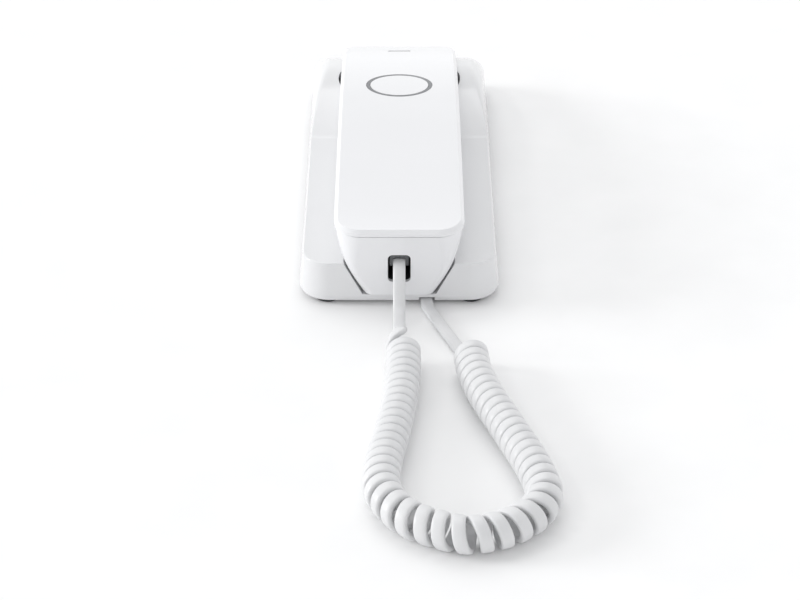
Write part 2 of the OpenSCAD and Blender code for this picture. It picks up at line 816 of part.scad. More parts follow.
placed() base_cover();
placed() base_plate();
placed() foot(-1, foot_y);  // foot_front_left
placed() foot(1, foot_y);  // foot_front_right
placed() foot(-1, base_l - foot_y - 2);  // foot_rear_left
placed() foot(1, base_l - foot_y - 2);  // foot_rear_right
placed() base_screws();
placed() base_board();
placed() board_parts();
placed() line_jack();
placed() cord_jack();
placed() hook_plunger();
placed() hook_spring();
placed() hook_switch();
placed() ringer();
placed() handset_back();
placed() handset_front();
placed() ring_trim();
placed() indicator_lens();
placed() indicator_led();
placed() handset_board();
placed() keypad_mat();
placed() ear_speaker();
placed() speaker_gasket();
placed() microphone();
placed() microphone_boot();
placed() handset_jack();
placed() handset_screws();
placed() handset_weight();
placed() handset_plug();
placed() handset_lead();
placed() curly_cord();
placed() base_lead();
placed() base_plug();
for (k = KEYS) placed() key(k);
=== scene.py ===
"""The looks of a slimline telephone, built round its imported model.

Measures are in millimetres, with y = 0 at the front edge of the base; place() turns them into metres.
"""
import json
import math

import bmesh
import bpy
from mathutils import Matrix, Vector


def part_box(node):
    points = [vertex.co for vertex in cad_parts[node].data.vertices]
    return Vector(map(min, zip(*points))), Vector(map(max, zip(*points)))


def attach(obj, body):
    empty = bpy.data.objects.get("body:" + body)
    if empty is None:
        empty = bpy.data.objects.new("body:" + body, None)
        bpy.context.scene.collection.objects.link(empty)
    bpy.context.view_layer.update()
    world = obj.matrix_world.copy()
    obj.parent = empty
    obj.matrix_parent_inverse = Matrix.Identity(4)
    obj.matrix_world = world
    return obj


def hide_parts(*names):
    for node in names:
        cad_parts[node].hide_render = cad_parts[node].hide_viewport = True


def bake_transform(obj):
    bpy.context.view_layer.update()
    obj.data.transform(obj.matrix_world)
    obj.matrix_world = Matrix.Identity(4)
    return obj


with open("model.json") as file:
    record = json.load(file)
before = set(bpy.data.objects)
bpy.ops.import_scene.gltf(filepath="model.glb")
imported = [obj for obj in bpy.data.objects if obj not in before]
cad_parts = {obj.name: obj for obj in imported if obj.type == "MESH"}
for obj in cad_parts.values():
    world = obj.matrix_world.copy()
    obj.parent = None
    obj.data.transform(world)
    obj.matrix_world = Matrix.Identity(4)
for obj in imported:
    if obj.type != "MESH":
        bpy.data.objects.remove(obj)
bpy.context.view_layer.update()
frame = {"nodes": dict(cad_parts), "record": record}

MM = 0.001
UP = Vector((0, 0, 1))
cover_low, cover_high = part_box("base_cover")
shell_low, shell_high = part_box("handset_back")
FRONT_EDGE = cover_low.y


def place(x, y, z):
    """A point in the phone's frame, in metres."""
    return Vector((x * MM, FRONT_EDGE + y * MM, z * MM))


def spread(a, b, n):
    """n + 1 even steps from a to b."""
    return [a + (b - a) * i / n for i in range(n + 1)]


def lookup(x, table):
    """The value at x on straight lines through the table's points."""
    if x <= table[0][0]:
        return table[0][1]
    for (x0, y0), (x1, y1) in zip(table, table[1:]):
        if x <= x1:
            return y0 + (y1 - y0) * (x - x0) / (x1 - x0)
    return table[-1][1]


# ---- Camera, light and floor ----

WALL_LIGHT = 1.17
CEILING_LIGHT = 0.5


def camera():
    data = bpy.data.cameras.new("Camera")
    data.lens = 111.7
    data.sensor_width = 36
    data.clip_end = 20
    made = bpy.data.objects.new("Camera", data)
    made.location = place(0.3, -832.9, 486.8)
    made.rotation_euler = (math.radians(90 - 30.19), 0, 0)
    bpy.context.scene.collection.objects.link(made)
    bpy.context.scene.camera = made


def soft_sun(name, towards, spread_deg, strength, colour=(1, 1, 1)):
    """A wide, even light that stands in the direction of towards."""
    data = bpy.data.lights.new(name, "SUN")
    data.angle = math.radians(spread_deg)
    data.energy = strength
    data.color = colour
    made = bpy.data.objects.new(name, data)
    made.rotation_euler = Vector(towards).to_track_quat("Z", "Y").to_euler()
    bpy.context.scene.collection.objects.link(made)


def studio():
    world = bpy.data.worlds.new("Studio")
    world.use_nodes = True
    tree = world.node_tree
    background = tree.nodes["Background"]
    background.inputs["Color"].default_value = (0.985, 0.99, 1, 1)
    # The walls are brighter than the ceiling
    direction = tree.nodes.new("ShaderNodeTexCoord")
    height = tree.nodes.new("ShaderNodeSeparateXYZ")
    brightness = tree.nodes.new("ShaderNodeMapRange")
    brightness.inputs["To Min"].default_value = WALL_LIGHT
    brightness.inputs["To Max"].default_value = CEILING_LIGHT
    tree.links.new(direction.outputs["Generated"], height.inputs["Vector"])
    tree.links.new(height.outputs["Z"], brightness.inputs["Value"])
    tree.links.new(brightness.outputs["Result"], background.inputs["Strength"])
    bpy.context.scene.world = world
    bpy.context.scene.view_settings.view_transform = "Standard"
    soft_sun("Left", (-1, 0.1, 0.3), 20, 1.15)
    soft_sun("Key", (-0.9, 0.05, 1), 9, 0.17)
    soft_sun("Top", (-0.1, 0.6, 1), 50, 0.72)

    bpy.ops.mesh.primitive_plane_add(size=12, location=(0, 0, 0))
    floor = bpy.context.active_object
    floor.name = "Floor"
    floor.data.materials.append(plastic("Floor paper", (0.97, 0.97, 0.97), 0.85, grain=0.0))


# ---- Materials ----


def principled(name):
    """A material with its node tree, its shader and the object's own coordinates."""
    made = bpy.data.materials.new(name)
    made.use_nodes = True
    tree = made.node_tree
    coordinates = tree.nodes.new("ShaderNodeTexCoord")
    return made, tree, tree.nodes["Principled BSDF"], coordinates.outputs["Object"]


def noise(tree, vector, scale, detail=3.0):
    node = tree.nodes.new("ShaderNodeTexNoise")
    node.inputs["Scale"].default_value = scale
    node.inputs["Detail"].default_value = detail
    tree.links.new(vector, node.inputs["Vector"])
    return node.outputs["Fac"]


def ranged(tree, value, low, high):
    """value, from about 0.3 to 0.7, spread over low to high."""
    node = tree.nodes.new("ShaderNodeMapRange")
    node.inputs["From Min"].default_value = 0.3
    node.inputs["From Max"].default_value = 0.7
    node.inputs["To Min"].default_value = low
    node.inputs["To Max"].default_value = high
    tree.links.new(value, node.inputs["Value"])
    return node.outputs["Result"]


def tinted(tree, value, dark, light):
    """A colour between dark and light."""
    node = tree.nodes.new("ShaderNodeValToRGB")
    node.color_ramp.elements[0].position = 0.3
    node.color_ramp.elements[1].position = 0.7
    node.color_ramp.elements[0].color = (*dark, 1)
    node.color_ramp.elements[1].color = (*light, 1)
    tree.links.new(value, node.inputs["Fac"])
    return node.outputs["Color"]


def bumped(tree, shader, height, strength, depth):
    node = tree.nodes.new("ShaderNodeBump")
    node.inputs["Strength"].default_value = strength
    node.inputs["Distance"].default_value = depth
    tree.links.new(height, node.inputs["Height"])
    tree.links.new(node.outputs["Normal"], shader.inputs["Normal"])


def plastic(name, colour, rough, grain=0.3, grain_scale=2600, shift=0.03, coat=0.0, metal=0.0):
    """Moulded plastic, paint or metal: slow colour and gloss variation, and a fine grain."""
    made, tree, shader, vector = principled(name)
    slow = noise(tree, vector, 35)
    dark = tuple(c * (1 - shift) for c in colour)
    tree.links.new(tinted(tree, slow, dark, colour), shader.inputs["Base Color"])
    gloss = ranged(tree, noise(tree, vector, 220), rough * 0.85, rough * 1.15)
    tree.links.new(gloss, shader.inputs["Roughness"])
    shader.inputs["Metallic"].default_value = metal
    shader.inputs["Coat Weight"].default_value = coat
    shader.inputs["Coat Roughness"].default_value = 0.08
    if grain > 0:
        bumped(tree, shader, noise(tree, vector, grain_scale, 2), grain, 0.00002)
    return made


def clear_plastic():
    made, tree, shader, vector = principled("Clear polycarbonate")
    slow = noise(tree, vector, 300)
    tree.links.new(tinted(tree, slow, (0.12, 0.13, 0.14), (0.2, 0.21, 0.22)), shader.inputs["Base Color"])
    tree.links.new(ranged(tree, noise(tree, vector, 900), 0.08, 0.2), shader.inputs["Roughness"])
    shader.inputs["Transmission Weight"].default_value = 0.35
    shader.inputs["IOR"].default_value = 1.58
    return made


def board_finish():
    """Green solder mask over fine tracks."""
    made, tree, shader, vector = principled("Circuit board")
    tracks = tree.nodes.new("ShaderNodeTexVoronoi")
    tracks.distance = "CHEBYCHEV"
    tracks.feature = "DISTANCE_TO_EDGE"
    tracks.inputs["Scale"].default_value = 420
    tree.links.new(vector, tracks.inputs["Vector"])
    line = ranged(tree, tracks.outputs["Distance"], 1, 0)
    tree.links.new(tinted(tree, line, (0.01, 0.09, 0.035), (0.02, 0.2, 0.08)), shader.inputs["Base Color"])
    tree.links.new(ranged(tree, noise(tree, vector, 500), 0.25, 0.4), shader.inputs["Roughness"])
    bumped(tree, shader, line, 0.3, 0.00003)
    return made


def brushed_metal():
    made, tree, shader, vector = principled("Zinc-plated steel")
    stretch = tree.nodes.new("ShaderNodeMapping")
    stretch.inputs["Scale"].default_value = (1, 1, 18)
    tree.links.new(vector, stretch.inputs["Vector"])
    streaks = noise(tree, stretch.outputs["Vector"], 700)
    tree.links.new(tinted(tree, streaks, (0.48, 0.49, 0.51), (0.66, 0.67, 0.69)), shader.inputs["Base Color"])
    tree.links.new(ranged(tree, streaks, 0.22, 0.42), shader.inputs["Roughness"])
    shader.inputs["Metallic"].default_value = 1
    bumped(tree, shader, streaks, 0.15, 0.00002)
    return made


def cord_pvc():
    """Soft white PVC with faint drawing lines and a satin sheen."""
    made, tree, shader, vector = principled("Cord")
    slow = noise(tree, vector, 60)
    tree.links.new(tinted(tree, slow, (0.7, 0.704, 0.712), (0.74, 0.742, 0.748)), shader.inputs["Base Color"])
    tree.links.new(ranged(tree, noise(tree, vector, 400), 0.3, 0.42), shader.inputs["Roughness"])
    bumped(tree, shader, noise(tree, vector, 1500, 2), 0.2, 0.00003)
    return made


WHITE = (0.836, 0.839, 0.853)
# The base cover's white is the shell's white made darker: painted shade standing in for the handset's shade
# on the base.
BASE_WHITE_PAINTED_SHADE = (0.76, 0.763, 0.772)
finishes = {
    "shell": plastic("Glossy white", WHITE, 0.16, grain=0.12, grain_scale=900, shift=0.012, coat=0.4),
    "plate": plastic("Textured white", (0.78, 0.78, 0.79), 0.5, grain=0.8, grain_scale=2200),
    "rubber": plastic("Black rubber", (0.035, 0.035, 0.038), 0.8, grain=0.9, grain_scale=2400, shift=0.2),
    "screw_steel": brushed_metal(),
    "board": board_finish(),
    "components": plastic("Moulded epoxy", (0.03, 0.03, 0.033), 0.55, grain=0.5, shift=0.2),
    "socket": plastic("Black socket", (0.02, 0.02, 0.022), 0.45, grain=0.5, shift=0.2),
    "spring_steel": brushed_metal(),
    "plunger": plastic("Polished white", (0.84, 0.84, 0.85), 0.2, grain=0.1),
    "switch": plastic("Switch body", (0.05, 0.05, 0.055), 0.5, grain=0.5, shift=0.2),
    "sounder": plastic("Sounder body", (0.06, 0.06, 0.065), 0.5, grain=0.5, shift=0.2),
    "cord": cord_pvc(),
    "clear_plug": clear_plastic(),
    "grey_trim": plastic("Satin grey", (0.2, 0.205, 0.215), 0.35, grain=0.2, shift=0.05),
    "lens": plastic("Smoked lens", (0.22, 0.225, 0.235), 0.15, grain=0.05, shift=0.05, coat=0.5),
    "led": plastic("Clear epoxy", (0.7, 0.72, 0.7), 0.12, grain=0.05),
    "silicone": plastic("Grey silicone", (0.2, 0.21, 0.22), 0.6, grain=0.5, shift=0.08),
    "speaker": plastic("Speaker frame", (0.04, 0.04, 0.043), 0.45, grain=0.4, shift=0.2),
    "foam": plastic("Black foam", (0.02, 0.02, 0.02), 0.95, grain=1.0, grain_scale=1500, shift=0.3),
    "capsule": plastic("Drawn can", (0.6, 0.61, 0.63), 0.28, grain=0.2, metal=1.0),
    "ballast": plastic("Plated iron", (0.4, 0.4, 0.42), 0.35, grain=0.6, metal=1.0, shift=0.12),
    "keycap": plastic("Satin white key", (0.84, 0.845, 0.855), 0.28, grain=0.3),
    "function_keycap": plastic("Satin grey key", (0.3, 0.305, 0.32), 0.3, grain=0.3),
}


def dress_nodes():
    """Gives every CAD node the finish of its slot, and soft shading with eased edges."""
    for part in frame["record"]["subparts"]:
        node = frame["nodes"][part["node"]]
        node.data.materials.clear()
        node.data.materials.append(finishes[part["material_slot"]])
        weld = node.modifiers.new("Weld", "WELD")
        weld.merge_threshold = 0.000002
        ease = node.modifiers.new("Ease", "BEVEL")
        ease.width = 0.00018
        ease.segments = 2
        ease.limit_method = "ANGLE"
        ease.angle_limit = math.radians(40)
        ease.harden_normals = True
        node.data.shade_smooth()


# ---- Mesh helpers ----


def mesh_piece(name, points, faces, finish, body):
    mesh = bpy.data.meshes.new(name)
    mesh.from_pydata([tuple(p) for p in points], [], faces)
    mesh.validate()
    bm = bmesh.new()
    bm.from_mesh(mesh)
    bmesh.ops.recalc_face_normals(bm, faces=bm.faces)
    bm.to_mesh(mesh)
    bm.free()
    made = bpy.data.objects.new(name, mesh)
    bpy.context.scene.collection.objects.link(made)
    if finish:
        mesh.materials.append(finishes[finish])
    mesh.shade_smooth()
    if body:
        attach(made, body)
    return made


def smooth_curve(points, step):
    """Points about a step apart on a smooth curve through the given points."""
    ends = [points[0] * 2 - points[1]] + points + [points[-1] * 2 - points[-2]]
    out = []
    for a, b, c, d in zip(ends, ends[1:], ends[2:], ends[3:]):
        n = max(1, round((c - b).length / step))
        for i in range(n):
            t = i / n
            out.append(
                0.5 * (
                    2 * b + (c - a) * t + (2 * a - 5 * b + 4 * c - d) * t**2
                    + (3 * b - a - 3 * c + d) * t**3
                )
            )
    return out + [points[-1]]


def cord_section(sides=16, squareness=3.4):
    """The flat cord's rounded section: offsets across and out, in millimetres."""
    out = []
    for i in range(sides):
        a = 2 * math.pi * (i + 0.5) / sides
        c, s = math.cos(a), math.sin(a)
        across = math.copysign(abs(c) ** (2 / squareness), c) * CORD_W / 2
        outward = math.copysign(abs(s) ** (2 / squareness), s) * CORD_T / 2
        out.append((across, outward))
    return out


def flat_cord(name, path, across, body):
    """A flat cord along path; across gives its width's direction at each point."""
    section = cord_section()
    n = len(section)
    points, faces = [], []
    for i, (p, w) in enumerate(zip(path, across)):
        along = (path[min(i + 1, len(path) - 1)] - path[max(i - 1, 0)]).normalized()
        w = (w - along * w.dot(along)).normalized()
        outward = along.cross(w)
        points += [place(*(p + w * x + outward * y)) for x, y in section]
    for i in range(len(path) - 1):
        for j in range(n):
            k = (j + 1) % n
            faces.append((i * n + j, i * n + k, (i + 1) * n + k, (i + 1) * n + j))
    faces.append(tuple(range(n)))
    faces.append(tuple((len(path) - 1) * n + j for j in range(n)))
    return mesh_piece(name, points, faces, "cord", body)


# ---- Cords ----

CORD_W, CORD_T = 4.8, 2.5
COIL_R = 5.35
COIL_Z = 6.6
LEG_PITCH = 4.95
BEND_PITCH = 6.4
START_PHASE, END_PHASE = math.radians(100), math.radians(262)

LEAD = [
    (0, 1.6, 18.9), (0, -2, 18.2), (0, -4.6, 16.7), (0, -6.9, 14.2), (0, -8.6, 11.2), (0, -10.8, 8.3),
    (0, -13.7, 6.1), (0, -18, 4.9), (0, -23, 5), (0, -28, 6.3), (0, -33, 8.6),
]
COIL = [
    (1.5, -38.5), (1.5, -47.6), (1.4, -59), (0.8, -70), (-0.2, -82), (-1.6, -93), (-3.1, -104),
    (-4.9, -115), (-6, -127), (-5.2, -138), (-0.8, -147.5), (5, -154), (10.7, -157.5), (16.9, -160.5),
    (22.8, -162), (28.9, -161), (35.2, -158.5), (41.1, -154), (46.6, -147.5), (49.2, -138),
    (47.4, -126), (44.4, -115), (40.7, -104), (37.2, -93), (33.4, -82), (29.9, -70), (27.6, -59),
    (26.8, -50.6), (26.2, -44),
]
TAIL = [
    (22.6, -35, 1.4), (19.5, -27, 1.4), (16.3, -18.5, 1.4), (13, -9.5, 1.4), (11, -3, 1.4),
    (10.6, 5, 1.4), (11, 15, 1.4), (11.7, 26, 1.4), (12, 36, 1.4), (12, 42, 1.5), (12, 46, 2),
    (12, 49, 4.2), (12, 51.4, 6.8), (12, 53.8, 7.3),
]


def turn_rate(y, done, total):
    """Turns per millimetre: close in the two legs, opened in the front bend, slow at the two ends."""
    opened = lookup(y, [(-152, 1), (-118, 0)])
    pitch = LEG_PITCH + (BEND_PITCH - LEG_PITCH) * opened
    ramp = min(1, 0.05 + done / 9, 0.05 + (total - done) / 8)
    return ramp / pitch


def helix():
    """The coil's centreline, and the direction of the cord's width at each of its points."""
    axis = smooth_curve([Vector((x, y, COIL_Z)) for x, y in COIL], 0.12)
    total = sum((b - a).length for a, b in zip(axis, axis[1:]))
    done, phase, phases = 0.0, START_PHASE, []
    for a, b in zip(axis, axis[1:]):
        phases.append(phase)
        step = (b - a).length
        phase += 2 * math.pi * turn_rate(a.y, done, total) * step
        done += step
    phases.append(phase)
    turns = round((phase - END_PHASE) / (2 * math.pi))
    stretch = (END_PHASE + 2 * math.pi * turns - START_PHASE) / (phase - START_PHASE)
    path, across = [], []
    for i, p in enumerate(axis):
        along = (axis[min(i + 1, len(axis) - 1)] - axis[max(i - 1, 0)]).normalized()
        side = UP.cross(along)
        phase = START_PHASE + (phases[i] - START_PHASE) * stretch
        outward = side * math.cos(phase) + UP * math.sin(phase)
        path.append(p + outward * COIL_R)
        across.append(outward)
    # The width lies square to both the cord's run and the coil's radius
    for i, outward in enumerate(across[:]):
        along = (path[min(i + 1, len(path) - 1)] - path[max(i - 1, 0)]).normalized()
        across[i] = along.cross(outward).normalized()
    return path, across


def level_across(path, sign):
    out = []
    for i in range(len(path)):
        along = path[min(i + 1, len(path) - 1)] - path[max(i - 1, 0)]
        out.append(along.cross(UP).normalized() * sign)
    return out


def cords():
    coil, coil_across = helix()
    lead = smooth_curve([Vector(p) for p in LEAD] + [coil[0]], 0.8)
    lead_piece = flat_cord("cord_lead", lead, level_across(lead, 1), None)
    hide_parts("handset_lead")
    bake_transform(lead_piece)

    tail = smooth_curve([coil[-1]] + [Vector(p) for p in TAIL], 0.8)
    path = coil + tail[1:]
    across = coil_across + level_across(tail, -1)[1:]
    coil_piece = flat_cord("cord_coil", path, across, "base")
    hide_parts("curly_cord", "base_lead")


# ---- Shells: the CAD's sections in finer steps, with eased edges ----

BASE_W = (cover_high.x - cover_low.x) / MM
BASE_L = (cover_high.y - cover_low.y) / MM
SEAM_Z = cover_low.z / MM
COVER_H, COVER_WALL, BASE_CORNER = 14.1, 2.0, 12.0
BASE_TOP = SEAM_Z + COVER_H
LOW_LEAN, HUMP_LEAN = math.tan(math.radians(5.8)), math.tan(math.radians(11))
CREASE_Y, HUMP_Y, HUMP_R, REAR_EDGE = BASE_L - 91.4, BASE_L - 50.5, 103.0, 7.0
HUMP_Z = BASE_TOP + HUMP_R - math.sqrt(HUMP_R**2 - (HUMP_Y - CREASE_Y) ** 2)
FACE_Z = BASE_TOP + 1.4
TROUGH_FLOOR = SEAM_Z + 1.2
UNDER_SKIN = 1.6

HANDSET_W = (shell_high.x - shell_low.x) / MM
HANDSET_TOP = shell_high.z / MM
HANDSET_Y0 = (shell_low.y - FRONT_EDGE) / MM
HANDSET_Y1 = (shell_high.y - FRONT_EDGE) / MM
CREST_Y, MOUTH_L, EAR_Y0, SLOPE_L = BASE_L - 111, 50.0, BASE_L - 70, 8.0
BACK_H, CHAMFER, SHELL_WALL = 2.4, 1.4, 1.8
FRONT_CORNER, LOW_CORNER, REAR_CORNER = 10.6, 4.4, 7.0
MOUTH_Z, EAR_FLOOR = TROUGH_FLOOR + 0.4, SEAM_Z + 5.6
CUP_Y, CUP_R, CUP_WALL = BASE_L - 49, HANDSET_W / 2 + 1.3, 1.6
PART_GAP = 0.2
CRADLE_GAP = 0.6
KNEE_LIFT = 0.01

HOOK_HOLE_R = 3.35
LIP_INSET, LIP_W, LIP_DROP = 1.4, 1.1, 2
RING_SLIP, GROOVE_W, GROOVE_DEPTH = 0.05, 1.75, 0.9
LENS_ROOM = 0.2
SOCKET_W, SOCKET_H = 8.8, 11.8
KEY_FLANGE, KEY_ROOM = 1.6, 0.7
SOUND_HOLE_R, SOUND_RING_R, MIC_HOLE_R = 0.9, 5.0, 0.8
SCREW_HOLE_R, SCREW_X, SCREW_AHEAD = 1.9, 9.4, 22


def base_surface(y):
    return BASE_TOP if y < CREASE_Y else HUMP_Z - HUMP_R + math.sqrt(HUMP_R**2 - (y - HUMP_Y) ** 2)


def wall_lean(z):
    return (min(z, BASE_TOP) - SEAM_Z) * LOW_LEAN + max(0, z - BASE_TOP) * HUMP_LEAN


def edge_r(y):
    return lookup(y, [(CREASE_Y + 10, 0.6), (BASE_L - 20, REAR_EDGE)])


def back_surface(y):
    return HANDSET_TOP - (y - CREST_Y) ** 2 / (3800 if y < CREST_Y else 800)


def parting(y):
    return back_surface(y) - BACK_H


def underside(y):
    return lookup(
        y,
        [
            (MOUTH_L - SLOPE_L, MOUTH_Z), (MOUTH_L, FACE_Z),
            (EAR_Y0 - SLOPE_L, FACE_Z), (EAR_Y0, EAR_FLOOR + 0.4),
        ],
    )


def keel(depth):
    return HANDSET_W / 2 - 0.4 - 0.158 * depth - 0.0106 * depth**2


def half_outline(w, y0, y1, rf, rr, ys, steps=14):
    """The right half of a rounded rectangle, front to rear: x, y and the outward normal."""
    out = []
    for a in spread(-90, 0, steps):
        c, s = math.cos(math.radians(a)), math.sin(math.radians(a))
        out.append((w / 2 - rf + rf * c, y0 + rf + rf * s, c, s))
    out += [(w / 2, y, 1, 0) for y in ys]
    for a in spread(0, 90, steps):
        c, s = math.cos(math.radians(a)), math.sin(math.radians(a))
        out.append((w / 2 - rr + rr * c, y1 - rr + rr * s, c, s))
    return out


def closed(half):
    return half + [(-x, y, z) for x, y, z in reversed(half)]


def loft(name, rings, finish, body):
    """A solid through the rings, closed by strips across the first and the last one."""
    n = len(rings[0])
    points = [place(*p) for ring in rings for p in ring]
    faces = []
    for k in range(len(rings) - 1):
        for i in range(n):
            j = (i + 1) % n
            faces.append((k * n + i, (k + 1) * n + i, (k + 1) * n + j, k * n + j))
    for first in (0, (len(rings) - 1) * n):
        for i in range(n // 2 - 1):
            faces.append((first + i, first + i + 1, first + n - 2 - i, first + n - 1 - i))
    return mesh_piece(name, points, faces, finish, body)


def carve(piece, tool, operation):
    """Joins tool to piece, or cuts it away, and removes the tool."""
    step = piece.modifiers.new("Carve", "BOOLEAN")
    step.operation = operation
    step.solver = "EXACT"
    step.object = tool
    bpy.context.view_layer.update()
    result = bpy.data.meshes.new_from_object(piece.evaluated_get(bpy.context.evaluated_depsgraph_get()))
    piece.modifiers.clear()
    old = piece.data
    piece.data = result
    bpy.data.meshes.remove(old)
    bpy.data.objects.remove(tool)


def prism(outline, low, high):
    """An upright solid on an outline; low and high give its bottom and top at a point."""
    n = len(outline)
    points = [place(x, y, low(x, y)) for x, y in outline] + [place(x, y, high(x, y)) for x, y in outline]
    faces = [tuple(range(n)), tuple(range(n, 2 * n))]
    faces += [(i, (i + 1) % n, n + (i + 1) % n, n + i) for i in range(n)]
    return mesh_piece("tool", points, faces, None, None)


def round_outline(x0, y0, r, steps=24):
    return [
        (x0 + r * math.cos(2 * math.pi * i / steps), y0 + r * math.sin(2 * math.pi * i / steps))
        for i in range(steps)
    ]


def box_outline(x0, y0, w, l, r, steps=5):
    """A rounded rectangle about a point."""
    out = []
    for quarter, (sx, sy) in enumerate([(1, 1), (-1, 1), (-1, -1), (1, -1)]):
        for a in spread(90 * quarter, 90 * quarter + 90, steps):
            c, s = math.cos(math.radians(a)), math.sin(math.radians(a))
            out.append((x0 + sx * (w / 2 - r) + r * c, y0 + sy * (l / 2 - r) + r * s))
    return out


def stations(sections):
    """A solid through sections of equal length, each (y, [(x, z), ...]); open to booleans."""
    n = len(sections[0][1])
    points = [place(x, y, z) for y, section in sections for x, z in section]
    faces = [tuple(range(n)), tuple((len(sections) - 1) * n + i for i in range(n))]
    for k in range(len(sections) - 1):
        for i in range(n):
            j = (i + 1) % n
            faces.append((k * n + i, (k + 1) * n + i, (k + 1) * n + j, k * n + j))
    return mesh_piece("tool", points, faces, None, None)


def finish_edges(piece, width, angle=28):
    """Eases the sharp edges and keeps the flats flat."""
    piece.data.shade_smooth()
    ease = piece.modifiers.new("Ease", "BEVEL")
    ease.width = width * MM
    ease.segments = 3
    ease.limit_method = "ANGLE"
    ease.angle_limit = math.radians(angle)
    ease.harden_normals = True
    level = piece.modifiers.new("Level", "WEIGHTED_NORMAL")
    level.keep_sharp = True
    level.weight = 60


def mouth_tub(grow):
    """The space for the mouthpiece, or with grow the outside of its tub."""
    low = TROUGH_FLOOR - min(grow, TROUGH_FLOOR - SEAM_Z)
    bottom = keel(parting(0) - TROUGH_FLOOR) + CRADLE_GAP + grow
    top = keel(parting(0) - BASE_TOP) + CRADLE_GAP + grow
    rear = MOUTH_L - SLOPE_L + CRADLE_GAP + 1 + grow
    slope = (FACE_Z - MOUTH_Z) / SLOPE_L
    roof = BASE_TOP - UNDER_SKIN if grow else HANDSET_TOP

    def section(y):
        floor = low + max(0, y - rear) * slope
        wide = bottom + (top - bottom) * min(1, (floor - low) / (BASE_TOP - low))
        knee = min(max(BASE_TOP, floor), roof) if not grow else roof
        brow = bottom + (top - bottom) * min(1, (knee - low) / (BASE_TOP - low))
        if grow:
            return y, [(-wide, floor), (wide, floor), (brow, roof), (-brow, roof)]
        bend = knee + KNEE_LIFT
        return y, [(-wide, floor), (wide, floor), (brow, bend), (brow, roof), (-brow, roof), (-brow, bend)]

    last = rear + (roof - low) / slope - 0.3
    knee_y = rear + (BASE_TOP - low) / slope
    ys = [2 if grow else -5, rear] + ([] if grow else [knee_y]) + [last]
    return stations([section(y) for y in ys])


def ear_tub(grow):
    """The space for the earpiece end, or with grow the outside of its tub."""
    drop = min(grow, CUP_WALL)
    start, end = CREASE_Y - 6 - grow, HANDSET_Y1 + 1.3 + grow
    corner, half = 5 + grow, HANDSET_W / 2 + grow
    floor_line = [
        (EAR_Y0 - SLOPE_L - 1 - grow, FACE_Z - 1.2 - drop),
        (EAR_Y0 - 1 - grow, EAR_FLOOR - drop),
    ]

    def half_width(y):
        inside = max(0, start + corner - y, y - end + corner)
        channel = half - corner + math.sqrt(max(0, corner**2 - inside**2))
        reach = (CUP_R + grow) ** 2 - (y - CUP_Y) ** 2
        return max(channel, math.sqrt(max(0, reach)))

    def section(y):
        w, floor = half_width(y), lookup(y, floor_line)
        roof = base_surface(y) - UNDER_SKIN if grow else HANDSET_TOP
        return y, [(-w, floor), (w, floor), (w, roof), (-w, roof)]

    first = CREASE_Y + 3 if grow else start
    ys = spread(first, end - corner, 80) + spread(end - corner, end, 8)[1:]
    ys = sorted(set([round(y, 4) for y in ys] + [y for y, _ in floor_line if y > first]))
    return stations([section(y) for y in ys])


def base_cover():
    ys = spread(BASE_CORNER + 8, CREASE_Y, 10) + spread(CREASE_Y + 2, BASE_L - BASE_CORNER - 2, 34)
    half = half_outline(BASE_W, 0, BASE_L, BASE_CORNER, BASE_CORNER, ys)

    def seam_ring(inset):
        return closed([(x - nx * inset, y - ny * inset, SEAM_Z) for x, y, nx, ny in half])

    def edge_ring(inset, angle):
        c, s = math.cos(math.radians(angle)), math.sin(math.radians(angle))
        out = []
        for x, y, nx, ny in half:
            r = max(edge_r(y) - inset, 0.1)
            round_in = inset + r * (1 - c)
            h = base_surface(y - ny * round_in) - inset - r * (1 - s)
            total = wall_lean(h) + round_in
            out.append((x - nx * total, y - ny * total, h))
        return closed(out)

    cover = loft(
        "base_cover_shell",
        [edge_ring(COVER_WALL, a) for a in (90, 60, 30, 0)]
        + [seam_ring(COVER_WALL), seam_ring(0)]
        + [edge_ring(0, a) for a in spread(0, 90, 8)],
        "shell", "base",
    )
    carve(cover, mouth_tub(COVER_WALL), "UNION")
    carve(cover, ear_tub(COVER_WALL), "UNION")
    carve(cover, mouth_tub(0), "DIFFERENCE")
    carve(cover, ear_tub(0), "DIFFERENCE")
    hook_low, hook_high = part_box("hook_plunger")
    hook_y = ((hook_low.y + hook_high.y) / 2 - FRONT_EDGE) / MM
    hole = prism(round_outline(0, hook_y, HOOK_HOLE_R, 40), lambda x, y: 12.0, lambda x, y: 30.0)
    carve(cover, hole, "DIFFERENCE")
    finish_edges(cover, 0.28)
    # The cover gets a darker copy of the shell white, with the handset's shade painted into its colour.
    cover.data.materials.clear()
    cover.data.materials.append(
        plastic("Base white with painted shade", BASE_WHITE_PAINTED_SHADE, 0.18, grain=0.12, grain_scale=900, shift=0.012, coat=0.3)
    )
    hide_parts("base_cover")


HANDSET_YS = (
    [12, 15, 20, 27, 34, MOUTH_L - SLOPE_L, MOUTH_L - SLOPE_L / 2, MOUTH_L]
    + spread(MOUTH_L + 5, EAR_Y0 - SLOPE_L - 5, 12)
    + [EAR_Y0 - SLOPE_L, EAR_Y0 - SLOPE_L / 2, EAR_Y0]
    + spread(EAR_Y0 + 4, HANDSET_Y1 - REAR_CORNER - 2, 14)
)


def handset_half(inset):
    return half_outline(
        HANDSET_W - 2 * inset, HANDSET_Y0 + inset, HANDSET_Y1 - inset,
        FRONT_CORNER - inset, REAR_CORNER - inset, HANDSET_YS,
    )


